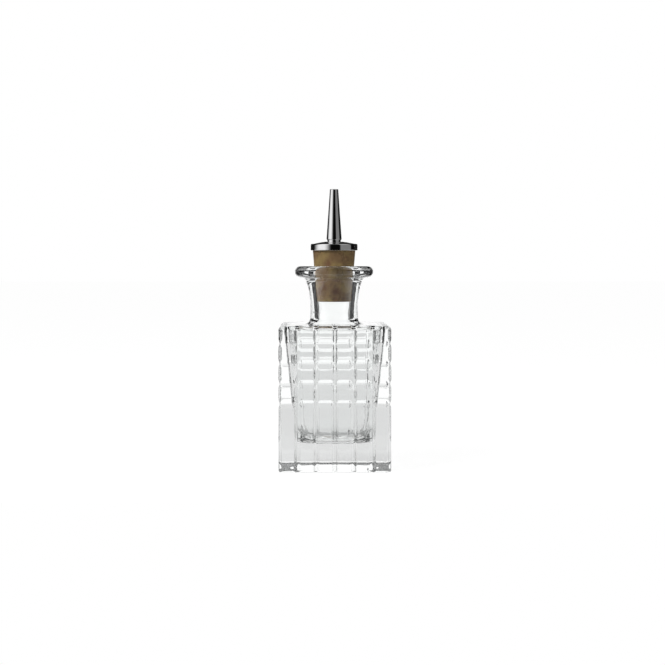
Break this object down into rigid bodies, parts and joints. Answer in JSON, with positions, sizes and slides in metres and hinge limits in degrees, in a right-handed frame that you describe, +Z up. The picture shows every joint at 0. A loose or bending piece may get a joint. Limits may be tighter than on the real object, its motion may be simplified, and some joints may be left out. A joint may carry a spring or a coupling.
{
  "type": "bitters bottle",
  "caption": "Square pressed-glass dasher bottle with a grid of cut squares over tall columns, a flared lip and a corked, capped metal drip spout.",
  "frame": {"origin": "centre of the foot, on the surface the bottle stands on", "axes": "+Z up along the neck and spout, -Y towards the front face"},
  "size_m": [0.055, 0.055, 0.1387],
  "materials": {
    "clear_glass": "fire-polished pressed glass",
    "cork": "agglomerated cork, matt",
    "bright_metal": "polished chrome plate",
    "tube_metal": "drawn stainless tube"
  },
  "bodies": {
    "bottle": {"bottle": "clear_glass"},
    "stopper": {"cork": "cork"},
    "dasher": {"cap": "bright_metal", "spout": "bright_metal", "feed_tube": "tube_metal"}
  },
  "joints": [
    {"name": "stopper_lift", "type": "slide", "parent": "bottle", "child": "stopper", "axis": [0, 0, 1], "range_m": [0, 0.04]},
    {"name": "dasher_pull", "type": "slide", "parent": "stopper", "child": "dasher", "axis": [0, 0, 1], "range_m": [0, 0.034]}
  ]
}
